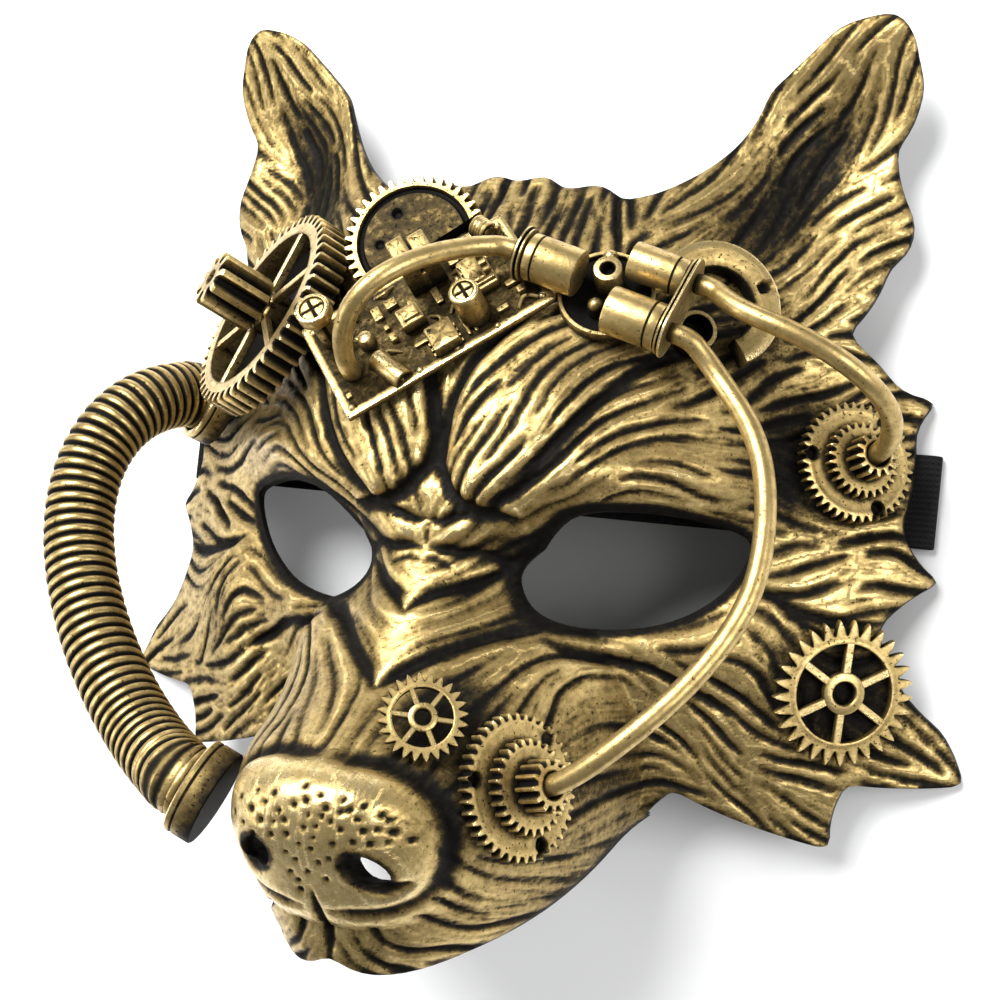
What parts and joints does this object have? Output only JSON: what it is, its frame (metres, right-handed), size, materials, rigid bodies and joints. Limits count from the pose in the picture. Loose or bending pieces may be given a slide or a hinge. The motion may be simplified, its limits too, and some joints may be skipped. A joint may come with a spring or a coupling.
{
  "type": "carnival half mask",
  "caption": "Wolf half mask in antique gold with moulded fur, ears, eye openings, glued gears, a circuit board, a valve, tubes, a ribbed hose and an elastic strap.",
  "frame": {"origin": "centre of the footprint at the level the mask lies on, its face up", "axes": "+Z leaves the face, +Y runs to the ears, +X runs to the side with the temple and cheek gears"},
  "size_m": [0.2064, 0.2024, 0.0972],
  "materials": {
    "antique gold": "gold metallic paint rubbed over black, worn in the grooves",
    "black elastic": "woven elastic, matte"
  },
  "bodies": {
    "root": {"breathing_hose": "antique gold", "bridge_gear": "antique gold", "capacitor_short": "antique gold", "capacitor_tall": "antique gold", "capsule": "antique gold", "cheek_gear": "antique gold", "chip_block": "antique gold", "circuit_board": "antique gold", "connector_block": "antique gold", "crown_gear": "antique gold", "crown_pinion": "antique gold", "disc_gear": "antique gold", "face_shell": "antique gold", "half_pipe": "antique gold", "head_strap": "black elastic", "hose_cup_lower": "antique gold", "hose_cup_upper": "antique gold", "module_block": "antique gold", "muzzle_gear_large": "antique gold", "muzzle_gear_middle": "antique gold", "muzzle_pinion": "antique gold", "relay_box": "antique gold", "ring_collar": "antique gold", "ring_cup": "antique gold", "temple_gear_large": "antique gold", "temple_gear_middle": "antique gold", "temple_pinion": "antique gold", "tube_board": "antique gold", "tube_cheek": "antique gold", "tube_temple": "antique gold", "valve_base": "antique gold", "valve_dome_back": "antique gold", "valve_dome_front": "antique gold", "valve_flange": "antique gold", "valve_inlet": "antique gold", "valve_inlet_flange": "antique gold", "valve_outlet_lower": "antique gold", "valve_outlet_upper": "antique gold", "valve_post": "antique gold", "wire_coil": "antique gold"}
  },
  "joints": []
}
